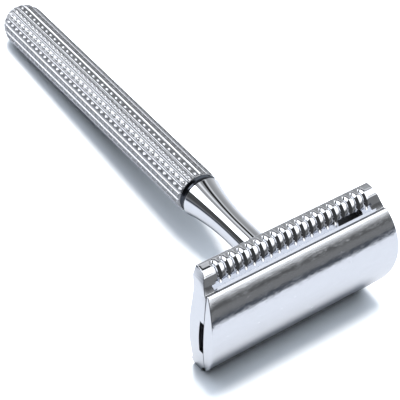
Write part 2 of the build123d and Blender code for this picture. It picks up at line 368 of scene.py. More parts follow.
def cut(target, tool, operation):
    """Applies one boolean to a mesh and removes the tool."""
    modifier = target.modifiers.new("cut", "BOOLEAN")
    modifier.operation = operation
    modifier.solver = "EXACT"
    modifier.object = tool
    graph = bpy.context.evaluated_depsgraph_get()
    result = bpy.data.meshes.new_from_object(target.evaluated_get(graph), depsgraph=graph)
    target.modifiers.remove(modifier)
    before = target.data
    target.data = result
    bpy.data.meshes.remove(before)
    bpy.data.objects.remove(tool)
    weld(target.data)
    for polygon in target.data.polygons:
        polygon.use_smooth = True
    target.data.set_sharp_from_angle(angle=radians(SHARP_ANGLE))


def join_meshes(name, parts):
    """One object from several (points, faces) shells."""
    points, faces = [], []
    for more_points, more_faces in parts:
        first = len(points)
        points.extend(more_points)
        faces.extend([[first + corner for corner in face] for face in more_faces])
    return make_object(name, points, faces)


# -------------------- thread

THREAD_PITCH = 0.8
THREAD_DEPTH = 0.42
THREAD_ROWS = 10         # rows of points in one pitch
THREAD_FLANK = (0.1, 0.45)  # the flank rises between these shares of a pitch


def thread_lift(x, angle):
    """Height of a right-handed thread over its root, from 0 to 1, at a place on the screw."""
    phase = (x / THREAD_PITCH - angle / 360.0) % 1.0
    return smoothstep(*THREAD_FLANK, 0.5 - abs(phase - 0.5))


# -------------------- cap


def convex_end(z):
    """How far the head's convex end reaches along Y at a height z."""
    return sqrt(END_ARC_RADIUS**2 - z**2) - END_CENTRE


def bow_x(radius, z):
    """Height of a bowed surface under the cap, at z."""
    return BOW_RISE - BOW_RADIUS + sqrt(radius**2 - z**2)


CROWN_POINTS = 61
LIP_ANGLES = (22.5, 45.0, 67.5, 86.0)
CAP_STATIONS = 41


def make_cap():
    """Curved shell that clamps the blade, with rolled long edges and softened convex ends."""
    crown_radius = (CAP_HALF_WIDTH**2 + CAP_CROWN**2) / (2 * CAP_CROWN)
    half_angle = degrees(acos(1 - CAP_CROWN / crown_radius))
    crown = arc((CAP_CROWN - crown_radius, 0), crown_radius, -half_angle, half_angle, CROWN_POINTS)
    hollow = [(bow_x(BOW_RADIUS, z), z) for _, z in crown]
    lip_half = -bow_x(BOW_RADIUS, CAP_HALF_WIDTH) / 2
    lip_top, lip_bottom = [], []
    for angle in LIP_ANGLES:
        rise = lip_half * (1 - sin(radians(angle)))
        out = CAP_HALF_WIDTH + LIP_BULGE * sin(radians(angle))
        lip_top.append((rise - lip_half, out))
        lip_bottom.append((-rise - lip_half, out))
    top = [(x, -z) for x, z in lip_top[::-1]] + crown + lip_top
    bottom = [(x, -z) for x, z in lip_bottom[::-1]] + hollow + lip_bottom
    stations = spread(-END_BLOCK_START, END_BLOCK_START, CAP_STATIONS)
    return head_body("cap_shell", lambda y: (top, bottom), stations, convex_end, CAP_EDGE_ROUND)


# -------------------- guard plate

BED_EDGE_X = bow_x(BED_RADIUS, BED_HALF_WIDTH)
SHELF_INNER = (-1.0, BED_HALF_WIDTH + 0.44)  # the shelf's inner edge, as (x, z)
FLANK_ANGLE = 25.0       # between the X axis and the normal of the bar's flat flank
FLANK_TOP = (
    BAR_X + BAR_RADIUS * cos(radians(FLANK_ANGLE)),
    BAR_Z + BAR_RADIUS * sin(radians(FLANK_ANGLE)),
)
SHELF_OUTER_Z = 10.85
BLOCK_INNER_Z = 9.85     # the end blocks' flank starts here, nearer to the blade
SHELF_ROUND = 0.15
BED_POINTS = 16
FLANK_POINTS = 9
BAR_POINTS = 16
BAR_SIDE_DROPS = (0.2, 0.45, 0.7)  # last points on the bar's straight side, below its middle
LOBE_TOP_ANGLE = 46.0    # where a lobe's rounder flank leaves the round bar


def flank_x(z):
    """Height of the bar's flank at z."""
    return FLANK_TOP[0] + (FLANK_TOP[1] - z) * tan(radians(FLANK_ANGLE))


def lobe_flank():
    """Centre and radius of the arc from the shelf's outer edge to the bar, which it touches."""
    away = Vector((cos(radians(LOBE_TOP_ANGLE)), sin(radians(LOBE_TOP_ANGLE))))
    bar = Vector((BAR_X, BAR_Z))
    from_shelf = bar - Vector((flank_x(SHELF_OUTER_Z), SHELF_OUTER_Z))
    back = (from_shelf.length_squared - BAR_RADIUS**2) / (2 * (BAR_RADIUS + away.dot(from_shelf)))
    return bar - away * back, BAR_RADIUS + back


LOBE_CENTRE, LOBE_RADIUS = lobe_flank()
LOBE_TOP_Z = BAR_Z + BAR_RADIUS * sin(radians(LOBE_TOP_ANGLE))


def lobe_x(z):
    """Height of a lobe's flank at z."""
    return LOBE_CENTRE.x + sqrt(LOBE_RADIUS**2 - (z - LOBE_CENTRE.y) ** 2)


def lobe_depth(y):
    """How far the bar's surface lies under its crest at y, for a row of lobes with full crests."""
    if abs(y) > LOBE_ROW_HALF_LENGTH:
        return 0.0
    groove = round(y / LOBE_PITCH) * LOBE_PITCH
    towards_groove = max(0.0, 1 - abs(y - groove) / (LOBE_PITCH / 2))
    return GROOVE_DEPTH * towards_groove**LOBE_FULLNESS


def plate_half_top():
    """Half of the plate's top from the middle outward, as (x, z, angle round the bar or None)."""
    bend_start = BED_HALF_WIDTH - 0.3
    line = [(bow_x(BED_RADIUS, z), z, None) for z in spread(0.0, BED_HALF_WIDTH - 0.4, BED_POINTS)]
    bend = rounded(
        [
            (bow_x(BED_RADIUS, bend_start), bend_start),
            (BED_EDGE_X, BED_HALF_WIDTH, SHELF_ROUND),
            (*SHELF_INNER, SHELF_ROUND),
            (flank_x(SHELF_OUTER_Z), SHELF_OUTER_Z),
        ]
    )
    line += [(x, z, None) for x, z in bend[:-1]]
    for z in spread(SHELF_OUTER_Z, FLANK_TOP[1] - 0.1, FLANK_POINTS):
        line.append((flank_x(z), z, FLANK_ANGLE))
    bar = arc((BAR_X, BAR_Z), BAR_RADIUS, FLANK_ANGLE, 90.0, BAR_POINTS)
    for (x, z), angle in zip(bar, spread(FLANK_ANGLE, 90.0, BAR_POINTS)):
        line.append((x, z, angle))
    for drop in BAR_SIDE_DROPS:
        line.append((BAR_X - drop, BAR_Z + BAR_RADIUS, 90.0 + degrees(drop / BAR_RADIUS)))
    return line


FOOT_ROUND = 0.3
FOOT_START = BAR_Z - 0.2
FOOT_STEPS = 5
UNDER_BAR_POINTS = 21
GROOVE_RUN_OUT = (88.0, 112.0)     # the grooves end between these angles round the bar
GROOVE_MOUTH = 0.25                # share of the groove's depth that it keeps down to the shelf
MOUTH_RISE = (-0.02, 0.15)         # heights over the shelf's outer edge where this share sets in
GROOVE_RISE = (0.1, 1.2)           # and where the rest of the depth does


def plate_underside(z):
    """Height of the plate's underside at z."""
    knee = BED_HALF_WIDTH
    if z <= BOSS_RADIUS:
        return PLATE_UNDERSIDE
    if z <= knee:
        return PLATE_UNDERSIDE - UNDERSIDE_SLOPE_DROP * (z - BOSS_RADIUS) / (knee - BOSS_RADIUS)
    if z <= FOOT_START:
        start = PLATE_UNDERSIDE - UNDERSIDE_SLOPE_DROP
        return start + (BAR_FOOT - start) * (z - knee) / (FOOT_START - knee)
    return BAR_FOOT


def plate_section(y):
    """Top and bottom of the guard plate's section at y."""
    depth = lobe_depth(y)
    in_block = abs(y) > END_BLOCK_START + STATION_GAP / 2
    half = []
    for x, z, angle in plate_half_top():
        if angle is not None and not in_block and SHELF_OUTER_Z <= z <= LOBE_TOP_Z:
            x = max(x, lobe_x(z))
        if angle is not None and depth > 0:
            above_shelf = z - SHELF_OUTER_Z
            share = GROOVE_MOUTH * smoothstep(*MOUTH_RISE, above_shelf)
            share += (1 - GROOVE_MOUTH) * smoothstep(*GROOVE_RISE, above_shelf)
            inset = depth * share * (1 - smoothstep(*GROOVE_RUN_OUT, angle))
            x -= inset * cos(radians(min(angle, 90.0)))
            z -= inset * sin(radians(min(angle, 90.0)))
        if in_block and BLOCK_INNER_Z <= z <= FLANK_TOP[1]:
            x = max(x, flank_x(z))
        half.append((x, z))
    rounding_z = BAR_Z + BAR_RADIUS - FOOT_ROUND
    bar_start = len(half) - UNDER_BAR_POINTS - FOOT_STEPS
    places = [z for x, z in half[:bar_start]]
    places += spread(half[bar_start][1], rounding_z - 0.05, UNDER_BAR_POINTS)
    low = [(plate_underside(z), z) for z in places]
    low += arc((BAR_FOOT + FOOT_ROUND, rounding_z), FOOT_ROUND, 180.0, 90.0, FOOT_STEPS)
    top = [(x, -z) for x, z in half[:0:-1]] + half
    bottom = [(x, -z) for x, z in low[:0:-1]] + low
    return top, bottom


CORNER_POINTS = 6


def slot_outline(centre, half_length, half_width, corner):
    """Rectangle with rounded corners as (y, z) points."""
    points = []
    inner_y = half_length - corner
    inner_z = half_width - corner
    for start, side_y, side_z in ((0, 1, 1), (90, -1, 1), (180, -1, -1), (270, 1, -1)):
        middle = (centre[0] + side_y * inner_y, centre[1] + side_z * inner_z)
        points += arc(middle, corner, start, start + 90, CORNER_POINTS)
    return points


def disc_outline(centre_y, radius, count=48):
    """Circle as (y, z) points."""
    return [
        (centre_y + radius * cos(radians(angle)), radius * sin(radians(angle)))
        for angle in even_angles(count)
    ]


SLOT_START = 10.1
SLOT_LENGTH = 6.0
SLOT_WIDTH = 1.5
SLOT_CORNER = SLOT_WIDTH / 2 - 0.01
NOTCH_HALF_WIDTH = 4.0
NOTCH_DEPTH = 1.4
NOTCH_LENGTH = 1.2
NOTCH_CORNER = 0.25
NOTCH_SPARE = 1.0        # the notch's cutter reaches this far past the end
STUD_HOLE_RADIUS = 2.7
PIN_HOLE_RADIUS = 1.4
SEAT_RADIUS = 4.25
SEAT_X = -4.58
THROUGH = (-8.0, 2.0)    # a cutter between these heights passes through the whole plate
POINTS_PER_LOBE = 12


def make_plate():
    """Guard plate: curved bed, slanted shelves, scalloped safety bars, boss, slots and holes."""
    lobed = spread(-LOBE_ROW_HALF_LENGTH, LOBE_ROW_HALF_LENGTH, GROOVE_COUNT * POINTS_PER_LOBE + 1)
    stations = [y for y in lobed if abs(y) < END_BLOCK_START]
    stations = [-END_BLOCK_START] + stations + [END_BLOCK_START]
    plate = head_body("guard_plate", plate_section, stations, convex_end, PLATE_EDGE_ROUND)

    inside_plate = EDGE_X + PLATE_UNDERSIDE + 0.8
    boss_path = rounded(
        [
            (inside_plate, 0.0),
            (inside_plate, BOSS_RADIUS),
            (EDGE_X + BOSS_FOOT, BOSS_RADIUS, 0.3),
            (EDGE_X + BOSS_FOOT, 0.0),
        ]
    )
    cut(plate, lathe("boss", boss_path, 96), "UNION")

    cutters = [prism("stud_hole", disc_outline(0.0, STUD_HOLE_RADIUS), *THROUGH)]
    cutters.append(prism("seat", disc_outline(0.0, SEAT_RADIUS, 96), THROUGH[0], SEAT_X))
    for side in (-1, 1):
        pin_hole = disc_outline(side * PIN_OFFSET, PIN_HOLE_RADIUS)
        cutters.append(prism("pin_hole", pin_hole, *THROUGH))
        slot_y = side * (SLOT_START + SLOT_LENGTH / 2)
        slot_z = side * (SHELF_INNER[1] + SHELF_OUTER_Z + 0.3) / 2
        slot = slot_outline((slot_y, slot_z), SLOT_LENGTH / 2, SLOT_WIDTH / 2, SLOT_CORNER)
        cutters.append(prism("lather_slot", slot, THROUGH[0], SHELF_INNER[0] + 0.2))
        notch_y = side * (HEAD_HALF_LENGTH + NOTCH_SPARE)
        notch = slot_outline((notch_y, 0.0), NOTCH_LENGTH + NOTCH_SPARE, NOTCH_HALF_WIDTH, NOTCH_CORNER)
        cutters.append(prism("end_notch", notch, BOW_RISE - NOTCH_DEPTH, 3.0))
    for cutter in cutters:
        cut(plate, cutter, "DIFFERENCE")
    return plate


# -------------------- blade

BLADE_HALF_WIDTH = blade_high.z / MM
BLADE_HALF_LENGTH = blade_high.y / MM
BLADE_EDGE_HALF_LENGTH = 18.8
BLADE_TAB_HALF_WIDTH = 8.5
BLADE_EDGE_ROUND = 0.02
BLADE_SLOT_HALF_LENGTH = 16.5
BLADE_SLOT_HALF_WIDTH = 1.6
BLADE_EYE_RADIUS = 3.1
BLADE_PIN_EYE_RADIUS = 1.9
HONE_WIDTH = 0.75
HONE_SHARE = 0.96        # by how much of its thickness the blade thins towards its edge


def blade_section(_):
    """Bowed strip whose long edges are honed to a thin line."""
    outer = BOW_RADIUS - BLADE_GAP
    heights = spread(0.0, BLADE_TAB_HALF_WIDTH - 0.04, 12)
    heights += [BLADE_TAB_HALF_WIDTH + 0.04, BLADE_HALF_WIDTH - HONE_WIDTH]
    heights += [BLADE_HALF_WIDTH - 0.3, BLADE_HALF_WIDTH - 0.02]
    top, bottom = [], []
    for z in heights:
        hone = max(0.0, (z - BLADE_HALF_WIDTH + HONE_WIDTH) / HONE_WIDTH)
        inset = hone * HONE_SHARE * BLADE_THICKNESS / 2
        top.append((bow_x(outer, z) - inset, z))
        bottom.append((bow_x(outer - BLADE_THICKNESS, z) + inset, z))
    mirror_top = [(x, -z) for x, z in top[:0:-1]]
    mirror_bottom = [(x, -z) for x, z in bottom[:0:-1]]
    return mirror_top + top, mirror_bottom + bottom


def make_blade():
    """Standard double-edge blade, bowed by the clamping, with its long slot and holes."""

    def tab_end(z):
        return BLADE_HALF_LENGTH if abs(z) < BLADE_TAB_HALF_WIDTH else BLADE_EDGE_HALF_LENGTH

    stations = spread(-18.0, 18.0, 31)
    blade = head_body("razor_blade", blade_section, stations, tab_end, BLADE_EDGE_ROUND)
    half_width = BLADE_SLOT_HALF_WIDTH
    openings = [
        slot_outline((0, 0), BLADE_SLOT_HALF_LENGTH, half_width, half_width - 0.01),
        disc_outline(0.0, BLADE_EYE_RADIUS),
        disc_outline(-PIN_OFFSET, BLADE_PIN_EYE_RADIUS),
        disc_outline(PIN_OFFSET, BLADE_PIN_EYE_RADIUS),
    ]
    for opening in openings:
        cut(blade, prism("blade_opening", opening, -3.0, 3.0), "DIFFERENCE")
    return blade


# -------------------- stud and pins

STUD_CREST_RADIUS = 2.45
STUD_SPIGOT_RADIUS = 2.0


def make_stud():
    """Threaded stud on the cap, with a plain neck under the cap and a chamfered tip."""
    low_x, high_x = x_span("cap_stud")
    shoulder_x = EDGE_X + 0.4
    root = STUD_CREST_RADIUS - THREAD_DEPTH
    thread_start = low_x + 0.45
    thread_end = EDGE_X - 0.6
    path = [(low_x, 0.0), (low_x, 1.5), (low_x + 0.12, 1.75), (low_x + 0.35, root)]
    rows = int((thread_end - thread_start) / THREAD_PITCH * THREAD_ROWS)
    thread_rows = range(len(path), len(path) + rows)
    path += [(x, root) for x in spread(thread_start, thread_end, rows)]
    path += rounded(
        [
            (thread_end + 0.05, root),
            (thread_end + 0.3, STUD_CREST_RADIUS, 0.1),
            (shoulder_x, STUD_CREST_RADIUS, 0.05),
            (shoulder_x, STUD_SPIGOT_RADIUS, 0.05),
            (high_x, STUD_SPIGOT_RADIUS),
        ]
    )
    path.append((high_x, 0.0))

    def relief(x, _, angle):
        fade = smoothstep(low_x + 0.4, low_x + 1.2, x)
        fade *= 1 - smoothstep(thread_end - THREAD_PITCH, thread_end, x)
        return THREAD_DEPTH * thread_lift(x, angle) * fade

    return lathe("threaded_stud", path, 64, relief, thread_rows)


def make_pins():
    """Two round pins with domed tips that locate the blade and the plate."""
    low_x, high_x = x_span("locating_pins")
    path = rounded(
        [(low_x, 0.0), (low_x, PIN_RADIUS, 0.5), (high_x, PIN_RADIUS, 0.05), (high_x, 0.0)],
        degrees_per_step=12,
    )
    shells = []
    for side in (-1, 1):
        shells.append(lathe_mesh(path, even_angles(48), centre_y=side * PIN_OFFSET))
    return join_meshes("pin_pair", shells)


# -------------------- neck, ring and plug

NOSE_RADIUS = 4.2
NOSE_END_X = EDGE_X - 6.4
WAIST_RADIUS = 3.1
FLARE = (EDGE_X - 26.1, 3.52)      # a place (x, radius) on the neck's flare towards the grip
FLARE_SLOPE = -0.135
COLLAR_X = EDGE_X + COLLAR_FRONT
COLLAR_RADIUS = 4.65


def make_neck():
    """Mirror-bright waisted neck with its threaded socket and its spigot in the grip."""
    spigot_x, nose_x = x_span("neck")
    socket_x = nose_x - SOCKET_DEPTH
    crest = STUD_RADIUS + SOCKET_CLEARANCE - THREAD_DEPTH
    path = [(socket_x, 0.0), (socket_x, crest)]
    rows = int((SOCKET_DEPTH - 0.4) / THREAD_PITCH * THREAD_ROWS)
    thread_rows = range(len(path), len(path) + rows)
    path += [(x, crest) for x in spread(socket_x + 0.05, nose_x - 0.75, rows)]
    path += rounded(
        [
            (nose_x - 0.7, crest),
            (nose_x, 2.9, 0.05),
            (nose_x, NOSE_RADIUS, 0.25),
            (NOSE_END_X, NOSE_RADIUS),
        ]
    )[:-1]
    waist = [(EDGE_X - away, WAIST_RADIUS) for away in (14.0, 14.3, 19.0, 19.2)]
    path += hermite((NOSE_END_X, NOSE_RADIUS), 0.5, waist[0], 0.0, 22)
    path += hermite(waist[1], 0.0, waist[2], 0.0, 6)
    path += hermite(waist[3], 0.0, FLARE, FLARE_SLOPE, 16)[1:]
    path += hermite(FLARE, FLARE_SLOPE, (COLLAR_X + 0.25, COLLAR_RADIUS - 0.05), -0.3, 16)[1:]
    path += rounded(
        [
            (COLLAR_X + 0.2, COLLAR_RADIUS - 0.03),
            (COLLAR_X, COLLAR_RADIUS, 0.12),
            (COLLAR_X, COLLAR_SEAT_RADIUS, 0.05),
            (GRIP_FRONT_X, COLLAR_SEAT_RADIUS),
            (GRIP_FRONT_X, BORE_RADIUS),
            (spigot_x, BORE_RADIUS, 0.3),
            (spigot_x, 0.0),
        ]
    )

    def relief(x, _, angle):
        fade = smoothstep(socket_x, socket_x + THREAD_PITCH, x)
        return THREAD_DEPTH * thread_lift(x, angle) * fade

    return lathe("neck_turning", path, 128, relief, thread_rows)


RING_RADIUS = 4.5
RING_HOLLOW = 0.42
RING_BREAK = 0.08        # bevel of the ring's two outer edges


def make_ring():
    """Hollow-sided ring that parts the neck from the grip."""
    low_x, high_x = x_span("collar_ring")
    middle = (low_x + high_x) / 2
    half_width = (high_x - low_x - 2 * RING_BREAK) / 2
    side_radius = RING_RADIUS - RING_BREAK
    path = [(low_x, COLLAR_SEAT_RADIUS), (low_x, side_radius)]
    for share in spread(-1.0, 1.0, 13):
        path.append((middle + share * half_width, RING_RADIUS - RING_HOLLOW * (1 - share * share)))
    path += [(high_x, side_radius), (high_x, COLLAR_SEAT_RADIUS)]
    return lathe("parting_ring", path, 96, closed=True)


FLAT_RADIUS = 1.45
DOME_RADIUS = GRIP_REAR_RADIUS - RIDGE_HEIGHT
RIM_ANGLE = 180 - degrees(acos(sqrt(DOME_RADIUS**2 - BORE_RADIUS**2) / DOME_RADIUS))


def make_plug():
    """Rounded plug that closes the grip's end, with the small flat the razor can stand on."""
    start = 180 - degrees(acos(1 - FLAT_RADIUS**2 / (2 * DOME_RADIUS**2)))
    path = [(0.0, 0.0), (0.0, FLAT_RADIUS - 0.15), (0.02, FLAT_RADIUS - 0.04)]
    dome = arc((DOME_CENTRE_X, 0.0), DOME_RADIUS, start, RIM_ANGLE, 14)
    path += [(max(x, 0.05), r) for x, r in dome]
    _, front_x = x_span("end_plug")
    rim_x = path[-1][0] + 0.02
    path += rounded([(rim_x, BORE_RADIUS), (front_x, BORE_RADIUS, 0.3), (front_x, 0.0)])
    return lathe("domed_plug", path, 96)


# -------------------- grip

RIDGE_HALF_WIDTH = 0.24
BEAD_HALF_LENGTH = 0.66
BEAD_HALF_WIDTH = 0.46
BEAD_HEIGHT = 0.3
FIRST_BEAD = 0.9         # from the grip's front to the middle of the first bead
ROWS_PER_BEAD = 8
SECTOR = 360.0 / RIDGE_COUNT
RIDGE_OFFSETS = (-3.0, -2.3, -1.2, 0.0, 1.2, 2.3, 3.0)      # degrees from a ridge's middle
BEAD_OFFSETS = (4.4, 5.7, 7.0, 8.5, 10.0, 11.5, 13.0, 14.3, 15.6)


def grip_angles():
    """Column angles of the grip, closest together on the ridges."""
    offsets = RIDGE_OFFSETS + BEAD_OFFSETS
    return [SECTOR * index + offset for index in range(RIDGE_COUNT) for offset in offsets]


def bump_share(away):
    """1 in the middle of a rounded bump, falling to 0 where away is 1 or more."""
    return cos(pi / 2 * min(1.0, abs(away))) ** 2


def make_grip():
    """Long tube with thin smooth ridges and rows of raised beads between them."""
    front_root = GRIP_FRONT_RADIUS - RIDGE_HEIGHT
    row_step = BEAD_PITCH / ROWS_PER_BEAD
    rows = int((GRIP_FRONT_X - 0.2 - DOME_CENTRE_X) / row_step)
    path = [(GRIP_FRONT_X, BORE_RADIUS), (GRIP_FRONT_X, front_root - 0.1)]
    first_row = len(path)
    for index in range(rows):
        x = GRIP_FRONT_X - 0.06 - row_step * index
        share = (GRIP_FRONT_X - x) / (GRIP_FRONT_X - DOME_CENTRE_X)
        path.append((x, front_root + (DOME_RADIUS - front_root) * share))
    path += arc((DOME_CENTRE_X, 0.0), DOME_RADIUS, 90.0, RIM_ANGLE, 20)
    outer_rows = range(first_row, len(path))
    path.append((path[-1][0] + 0.15, BORE_RADIUS))

    def relief(x, radius, angle):
        across = (angle + SECTOR / 2) % SECTOR - SECTOR / 2
        ridge_away = abs(across) * radius * pi / 180 / RIDGE_HALF_WIDTH
        ridge = RIDGE_HEIGHT * (1 - smoothstep(0.25, 1.1, ridge_away))
        ridge *= smoothstep(DOME_CENTRE_X - 4.6, DOME_CENTRE_X + 1.5, x)
        between = (angle % SECTOR) - SECTOR / 2
        bead_across = between * radius * pi / 180 / BEAD_HALF_WIDTH
        along = (GRIP_FRONT_X - FIRST_BEAD - x) / BEAD_PITCH
        bead_along = (along - floor(along + 0.5)) * BEAD_PITCH / BEAD_HALF_LENGTH
        bead = BEAD_HEIGHT * bump_share(bead_across) * bump_share(bead_along)
        bead *= smoothstep(DOME_CENTRE_X - 3.0, DOME_CENTRE_X - 1.0, x)
        front_fade = smoothstep(0.0, 0.25, GRIP_FRONT_X - x)
        rim_fade = smoothstep(BORE_RADIUS + 0.1, BORE_RADIUS + 0.7, radius)
        return -max(ridge, bead) * front_fade * rim_fade

    shell = lathe_mesh(path, grip_angles(), relief, outer_rows, closed=True)
    return make_object("grip_tube", *shell, sharp_angle=60)


# -------------------- node helpers


class Nodes:
    """Short ways to add and link the nodes of one node tree."""

    def __init__(self, tree):
        self.tree = tree
        tree.nodes.clear()

    def add(self, kind, **settings):
        """New node with its plain properties set."""
        node = self.tree.nodes.new(kind)
        for key, value in settings.items():
            setattr(node, key, value)
        return node

    def feed(self, socket, value):
        """Links a socket to another, or sets its value."""
        if isinstance(value, bpy.types.NodeSocket):
            self.tree.links.new(value, socket)
        else:
            socket.default_value = value

    def show(self, shader):
        """Makes a surface or background shader the tree's result."""
        world = shader.bl_idname == "ShaderNodeBackground"
        output = self.add("ShaderNodeOutputWorld" if world else "ShaderNodeOutputMaterial")
        self.feed(output.inputs["Surface"], shader.outputs[0])

    def split(self, vector):
        """The three parts of a vector."""
        node = self.add("ShaderNodeSeparateXYZ")
        self.feed(node.inputs[0], vector)
        return node.outputs

    def maths(self, operation, first, second=0.0):
        """Number from one maths node."""
        node = self.add("ShaderNodeMath", operation=operation)
        self.feed(node.inputs[0], first)
        self.feed(node.inputs[1], second)
        return node.outputs[0]

    def ramp(self, value, low, high, out_low=0.0, out_high=1.0):
        """Smooth change from out_low to out_high while value goes from low to high."""
        node = self.add("ShaderNodeMapRange", interpolation_type="SMOOTHSTEP")
        for socket, given in zip(node.inputs, (value, low, high, out_low, out_high)):
            self.feed(socket, given)
        return node.outputs["Result"]

    def mix(self, share, first, second):
        """Blend of two numbers."""
        node = self.add("ShaderNodeMix", data_type="FLOAT")
        self.feed(node.inputs[0], share)
        self.feed(node.inputs[2], first)
        self.feed(node.inputs[3], second)
        return node.outputs[0]

    def mix_colour(self, share, first, second):
        """Blend of two colours."""
        node = self.add("ShaderNodeMix", data_type="RGBA")
        self.feed(node.inputs[0], share)
        self.feed(node.inputs[6], first)
        self.feed(node.inputs[7], second)
        return node.outputs[2]

    def noise(self, place, stretch, detail=3.0, roughness=0.55):
        """Noise whose cells measure one over stretch millimetres along each axis."""
        mapping = self.add("ShaderNodeMapping")
        self.feed(mapping.inputs["Vector"], place)
        mapping.inputs["Scale"].default_value = [value / MM for value in stretch]
        node = self.add("ShaderNodeTexNoise")
        self.feed(node.inputs["Vector"], mapping.outputs[0])
        node.inputs["Scale"].default_value = 1.0
        node.inputs["Detail"].default_value = detail
        node.inputs["Roughness"].default_value = roughness
        return node.outputs["Fac"]


# -------------------- materials


BRIGHT_EDGE = (0.86, 0.87, 0.9)
# Painted shade in a metal's hollows: there the tint is scaled by this share and the finish dulled to
# this roughness.
HOLLOW_SHADE_TINT = 0.5
HOLLOW_DULL_ROUGHNESS = 0.32
EDGE_REACH = 0.12        # how far wear spreads from an edge
PIT_FINENESS = 9.0


def scaled(colour, share=1.0):
    """Opaque colour socket value, with the colour scaled."""
    return [channel * share for channel in colour] + [1]


def metal(
    name, tint, roughness, streaks, streak_height, mottle, wear_tint=BRIGHT_EDGE,
    wear=0.25, grain=0.0, patch=(0.35, 0.35, 0.35), hollow_shade=None,
):
    """Polished or brushed metal.

    streaks and patch are the fineness of the brushing and of the patches, in cells per millimetre
    along each axis. streak_height and grain are the depths of the brushing and of the pits in
    millimetres. mottle is how much the roughness varies, and wear how strongly the edges turn to
    wear_tint. A share function for the hollows, if given, makes from the nodes and the place the
    share that is darkened as painted shade and given a duller finish.
    """
    material = bpy.data.materials.new(name)
    material.use_nodes = True
    nodes = Nodes(material.node_tree)
    place = nodes.add("ShaderNodeTexCoord").outputs["Object"]

    brushing = nodes.noise(place, streaks, detail=4.0, roughness=0.6)
    patches = nodes.noise(place, patch, detail=4.0, roughness=0.6)
    pits = nodes.noise(place, [PIT_FINENESS] * 3, detail=2.0)

    softened = nodes.add("ShaderNodeBevel", samples=4)
    softened.inputs["Radius"].default_value = EDGE_REACH * MM
    facing = nodes.add("ShaderNodeVectorMath", operation="DOT_PRODUCT")
    nodes.feed(facing.inputs[0], softened.outputs[0])
    nodes.feed(facing.inputs[1], nodes.add("ShaderNodeNewGeometry").outputs["Normal"])
    edge = nodes.ramp(facing.outputs["Value"], 0.995, 0.93)
    worn = nodes.maths("MULTIPLY", edge, nodes.ramp(patches, 0.35, 0.6))
    worn = nodes.maths("MULTIPLY", worn, wear)

    shade = nodes.mix_colour(nodes.ramp(patches, 0.3, 0.7), scaled(tint, 0.96), scaled(tint))
    colour = nodes.mix_colour(worn, shade, scaled(wear_tint))
    rough = roughness
    for pattern in (patches, brushing):
        uneven = nodes.maths("MULTIPLY", nodes.maths("SUBTRACT", pattern, 0.5), mottle)
        rough = nodes.maths("ADD", rough, uneven)
    rough = nodes.maths("ADD", rough, nodes.maths("MULTIPLY", worn, 0.2))
    rough = nodes.maths("MAXIMUM", rough, 0.02)
    # Painted shade in the hollows: a darker tint, with a duller finish.
    if hollow_shade:
        hollow_shade_share = hollow_shade(nodes, place)
        colour = nodes.mix_colour(hollow_shade_share, colour, scaled(tint, HOLLOW_SHADE_TINT))
        rough = nodes.mix(hollow_shade_share, rough, HOLLOW_DULL_ROUGHNESS)

    height = nodes.maths("MULTIPLY", brushing, streak_height)
    height = nodes.maths("ADD", height, nodes.maths("MULTIPLY", pits, grain))
    bump = nodes.add("ShaderNodeBump")
    bump.inputs["Strength"].default_value = 1.0
    bump.inputs["Distance"].default_value = MM
    nodes.feed(bump.inputs["Height"], height)

    shader = nodes.add("ShaderNodeBsdfPrincipled")
    shader.inputs["Metallic"].default_value = 1.0
    nodes.feed(shader.inputs["Base Color"], colour)
    nodes.feed(shader.inputs["Roughness"], rough)
    nodes.feed(shader.inputs["Normal"], bump.outputs[0])
    nodes.show(shader)
    return material


def between_ridges(nodes, place):
    """Share of painted shade and duller finish on the grip: 1 on its root surface, falling to 0 on the
    tops of its ridges and beads.
    """
    along, side, up = nodes.split(place)
    squares = nodes.maths("ADD", nodes.maths("MULTIPLY", side, side), nodes.maths("MULTIPLY", up, up))
    share = nodes.maths("DIVIDE", along, grip_high.x)
    root = nodes.mix(share, DOME_RADIUS * MM, (GRIP_FRONT_RADIUS - RIDGE_HEIGHT) * MM)
    height = nodes.maths("SUBTRACT", nodes.maths("SQRT", squares), root)
    return nodes.ramp(height, RIDGE_HEIGHT * MM, 0.45 * RIDGE_HEIGHT * MM)


CHROME = (0.69, 0.705, 0.74)

cap_chrome = metal(
    "cap_chrome", CHROME, 0.12, (3.2, 0.7, 3.2), 0.009, 0.45, grain=0.0006, patch=(1.1, 0.4, 1.1)
)
plate_chrome = metal("plate_chrome", CHROME, 0.09, (3, 3, 3), 0.0006, 0.06)
neck_chrome = metal("neck_chrome", CHROME, 0.04, (9, 0.6, 0.6), 0.00012, 0.03)
# Between its ridges and beads the grip gets painted shade, a darker tint, and a duller finish.
grip_chrome = metal(
    "grip_chrome", (0.62, 0.63, 0.665), 0.14, (4.5, 4.5, 4.5), 0.022, 0.2, wear=0.3,
    hollow_shade=between_ridges,
)
ring_chrome = metal(
    "ring_chrome", (0.045, 0.05, 0.06), 0.16, (9, 1, 1), 0.0004, 0.1, (0.3, 0.3, 0.33)
)
# Dark dull chrome for painted shade: the hollows under the cap and in the plate's cuts, and a painted
# shadow line along the cap's lip.
painted_recess_shade = metal(
    "painted_recess_shade", (0.13, 0.134, 0.142), 0.42, (3, 3, 3), 0.002, 0.2, (0.1, 0.1, 0.1)
)
stud_brass = metal(
    "stud_brass", (0.72, 0.53, 0.27), 0.24, (8, 2, 2), 0.0008, 0.2, (0.9, 0.72, 0.42), wear=0.5
)
pin_steel = metal("pin_steel", (0.62, 0.63, 0.65), 0.2, (1.5, 12, 12), 0.0006, 0.12)
blade_steel = metal("blade_steel", CHROME, 0.08, (7, 1, 7), 0.0003, 0.06, wear=0.0)
core_steel = metal(
    "core_steel", (0.42, 0.43, 0.45), 0.35, (0.4, 10, 10), 0.002, 0.2, (0.6, 0.6, 0.62)
)

# -------------------- pieces on their bodies


def place_piece(piece, material, body, node):
    """Gives a finished mesh its material and sets it on its body in place of a CAD node."""
    piece.data.materials.clear()
    piece.data.materials.append(material)
    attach(piece, body)
    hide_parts(node)


